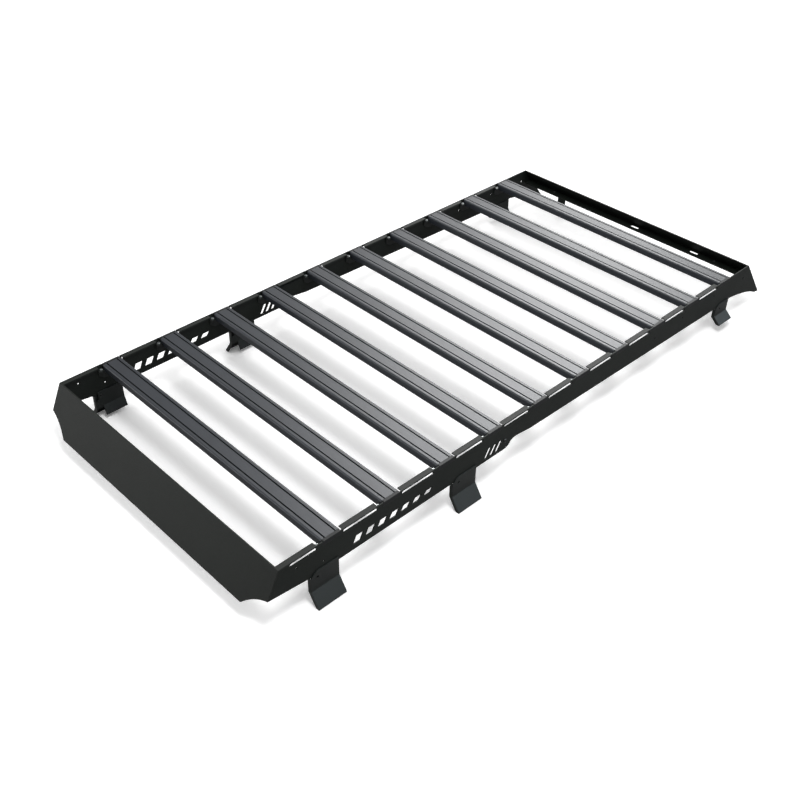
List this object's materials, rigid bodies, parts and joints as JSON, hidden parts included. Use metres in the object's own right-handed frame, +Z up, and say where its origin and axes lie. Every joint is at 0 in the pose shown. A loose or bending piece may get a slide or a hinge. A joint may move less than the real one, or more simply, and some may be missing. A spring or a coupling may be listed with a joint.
{
  "type": "flat platform roof rack",
  "caption": "Flat platform roof rack with grooved crossbars between two slotted side rails, a sloping front fairing, a rear panel and folded legs.",
  "frame": {"origin": "middle of the bounding box, on the floor under the front and middle feet", "axes": "+X towards the rear of the vehicle, +Y towards the right side, +Z up"},
  "size_m": [2.695, 1.2916, 0.226],
  "materials": {
    "sheet": "satin black powder coat",
    "bar": "satin black powder coat",
    "cap": "moulded",
    "leg": "satin black powder coat"
  },
  "bodies": {
    "root": {"front_fairing": "sheet", "rear_panel": "sheet", "side_rail_left_front": "sheet", "side_rail_left_rear": "sheet", "side_rail_right_front": "sheet", "side_rail_right_rear": "sheet", "splice_plate_left": "sheet", "splice_plate_right": "sheet", "crossbar_1": "bar", "crossbar_2": "bar", "crossbar_3": "bar", "crossbar_4": "bar", "crossbar_5": "bar", "crossbar_6": "bar", "crossbar_7": "bar", "crossbar_8": "bar", "crossbar_9": "bar", "crossbar_10": "bar", "end_caps_left": "cap", "end_caps_right": "cap", "bar_brackets_left": "leg", "bar_brackets_right": "leg", "leg_foot_left_1": "leg", "leg_foot_left_2": "leg", "leg_foot_left_3": "leg", "leg_foot_right_1": "leg", "leg_foot_right_2": "leg", "leg_foot_right_3": "leg", "leg_bracket_left_1": "leg", "leg_bracket_left_2": "leg", "leg_bracket_left_3": "leg", "leg_bracket_right_1": "leg", "leg_bracket_right_2": "leg", "leg_bracket_right_3": "leg"}
  },
  "joints": []
}
